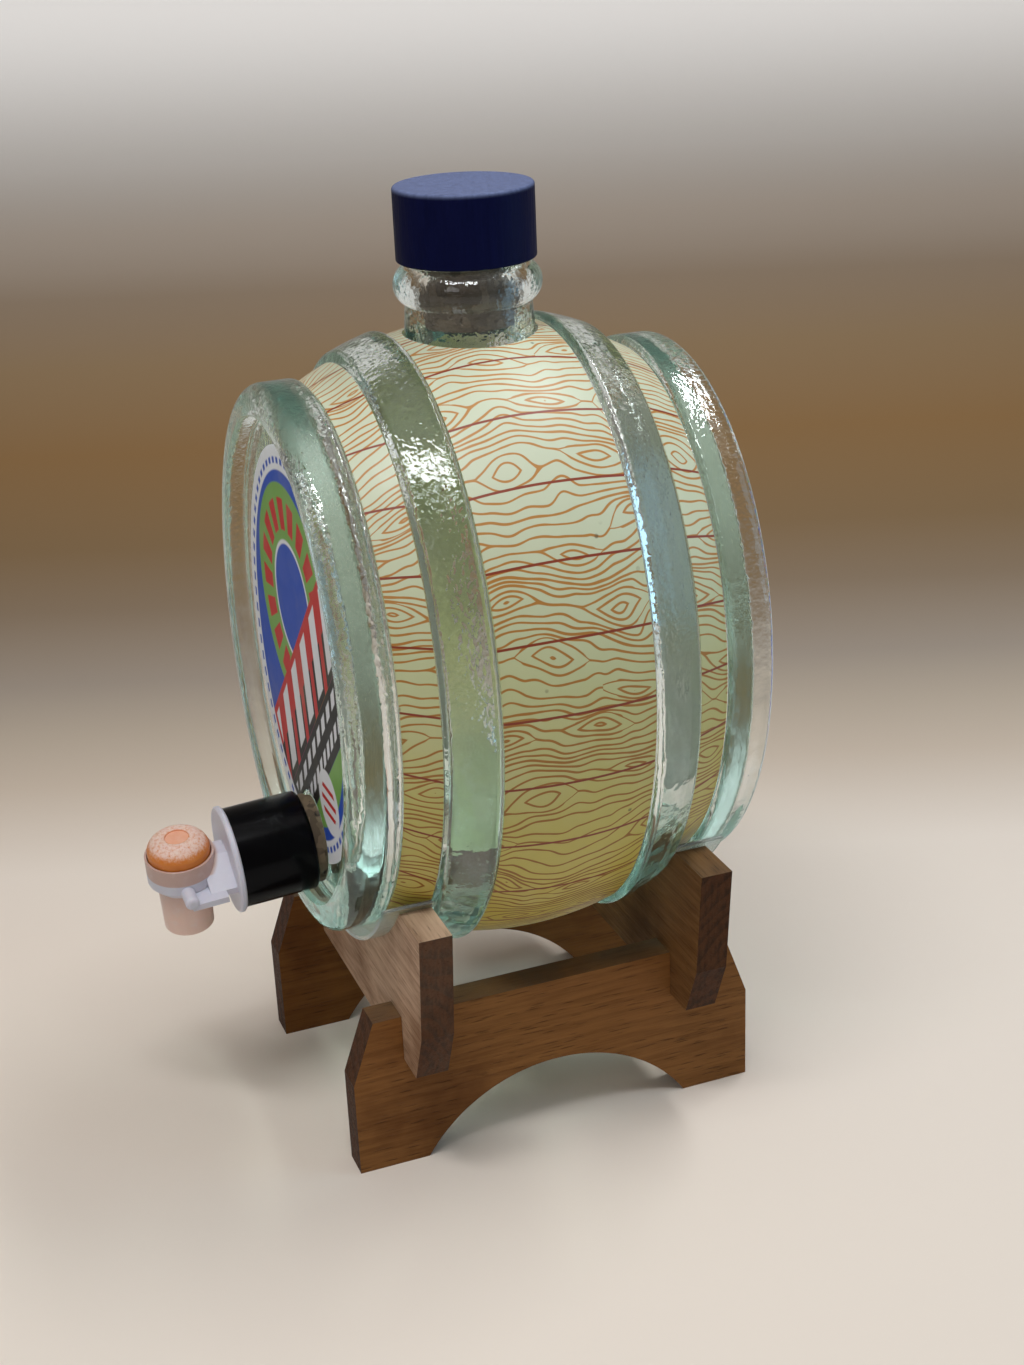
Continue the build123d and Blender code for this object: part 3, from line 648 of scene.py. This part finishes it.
# Floor and backdrop: one pale sheet that curves up behind the object
def backdrop():
    near, start, bend, top, half_width = -1.6, 1.25, 0.55, 2.6, 2.6
    bend_rows = 16
    angles = [math.radians(90 * i / (bend_rows - 1)) for i in range(bend_rows)]
    rows = [(near, 0.0)]
    rows += [(start + bend * math.sin(a), bend * (1 - math.cos(a))) for a in angles]
    rows.append((start + bend, top))
    turn = Matrix.Rotation(math.radians(69.7), 3, "Z")
    vertices, faces = [], []
    for along, height in rows:
        for across in (-half_width, half_width):
            vertices.append(turn @ Vector((across, along, height)))
    for i in range(len(rows) - 1):
        faces.append((2 * i, 2 * i + 1, 2 * i + 3, 2 * i + 2))
    mesh = bpy.data.meshes.new("backdrop")
    mesh.from_pydata(vertices, [], faces)
    for face in mesh.polygons:
        face.use_smooth = True
    sheet = bpy.data.objects.new("backdrop", mesh)
    scene.collection.objects.link(sheet)
    look = Look("backdrop_paper")
    x, y, height = look.xyz()
    # distance across the floor away from the camera
    away = look.sub(look.mul(y, 0.347), look.mul(x, 0.938))
    tone = look.ramp(
        look.math("DIVIDE", away, 1.8),
        [
            (0.075, (0.84, 0.74, 0.65)),
            (0.12, (0.63, 0.52, 0.42)),
            (0.150, (0.52, 0.43, 0.34)),
            (0.183, (0.39, 0.32, 0.26)),
            (0.239, (0.30, 0.215, 0.14)),
            (0.294, (0.295, 0.185, 0.087)),
            (0.40, (0.40, 0.225, 0.085)),
            (0.53, (0.52, 0.35, 0.19)),
            (0.67, (0.62, 0.48, 0.35)),
            (0.78, (0.86, 0.75, 0.65)),
            (0.84, (0.95, 0.90, 0.85)),
            (0.90, (0.95, 0.93, 0.90)),
        ],
    )
    # only what is looked at directly or through glass changes with distance: pale near the object, a darker
    # brown band further back and pale again high up, where it also glows as painted light; the light it gives
    # back to the object is a plain even colour
    rays = look.node("LightPath").outputs
    seen = look.math("MAXIMUM", rays["Is Camera Ray"], rays["Is Transmission Ray"])
    tone = look.mix(seen, (0.72, 0.68, 0.64), tone)
    look.surface(
        Base_Color=tone,
        Roughness=0.9,
        Emission_Color=(0.95, 0.93, 0.92, 1.0),
        Emission_Strength=look.mul(look.step(height, 0.02, 0.22, 0.0, 0.42), seen),
    )
    mesh.materials.append(look.material)


backdrop()


# Camera at the photograph's place
def camera():
    place = (0.5480, -0.1945, 0.3778)
    azimuth, elevation, roll = (math.radians(a) for a in (69.71, 23.0, -2.52))
    back = Vector(
        (
            math.sin(azimuth) * math.cos(elevation),
            -math.cos(azimuth) * math.cos(elevation),
            math.sin(elevation),
        )
    )
    right = (-back).cross(Vector((0, 0, 1))).normalized()
    up = right.cross(-back)
    turned_right = math.cos(roll) * right + math.sin(roll) * up
    turned_up = -math.sin(roll) * right + math.cos(roll) * up
    data = bpy.data.cameras.new("camera")
    data.sensor_width = 36.0
    data.lens = 54.07
    data.clip_start = 0.01
    data.clip_end = 20.0
    made = bpy.data.objects.new("camera", data)
    scene.collection.objects.link(made)
    rotation = Matrix((turned_right, turned_up, back)).transposed()
    made.matrix_world = Matrix.Translation(place) @ rotation.to_4x4()
    scene.camera = made


camera()


# Soft studio light: a large top panel, two narrow lamps for the highlights and two panels at the sides
def panel(name, place, width, height, power, colour, diffuse=1.0):
    target = Vector((0.0, 0.0, 0.13))
    data = bpy.data.lights.new(name, "AREA")
    data.shape = "RECTANGLE"
    data.size = width
    data.size_y = height
    data.energy = power
    data.color = colour
    data.diffuse_factor = diffuse
    made = bpy.data.objects.new(name, data)
    made.location = place
    made.rotation_mode = "QUATERNION"
    made.rotation_quaternion = (target - Vector(place)).to_track_quat("-Z", "Y")
    scene.collection.objects.link(made)


panel("top_panel", (0.15, -0.1, 1.3), 0.9, 0.9, 1.7, (1.0, 0.98, 0.96))
panel("front_lamp", (0.28, -0.26, 0.98), 0.50, 0.10, 3.7, (0.95, 0.98, 1.0))
panel("rear_lamp", (-0.03, 0.37, 0.98), 0.42, 0.10, 3.0, (0.95, 0.98, 1.0), diffuse=0.4)
panel("rear_side_panel", (0.45, 0.85, 0.45), 0.50, 0.80, 1.9, (0.38, 0.72, 1.0), diffuse=0.3)
panel("side_panel", (0.75, -0.75, 0.85), 0.40, 0.40, 1.0, (0.97, 0.98, 1.0))

world = bpy.data.worlds.new("studio")
scene.world = world
world.use_nodes = True
world.node_tree.nodes["Background"].inputs["Color"].default_value = (0.62, 0.56, 0.50, 1.0)
world.node_tree.nodes["Background"].inputs["Strength"].default_value = 0.34

scene.view_settings.view_transform = "Standard"
# light runs many times back and forth inside the thick glass
scene.cycles.max_bounces = 28
scene.cycles.glossy_bounces = 24
scene.cycles.transmission_bounces = 24
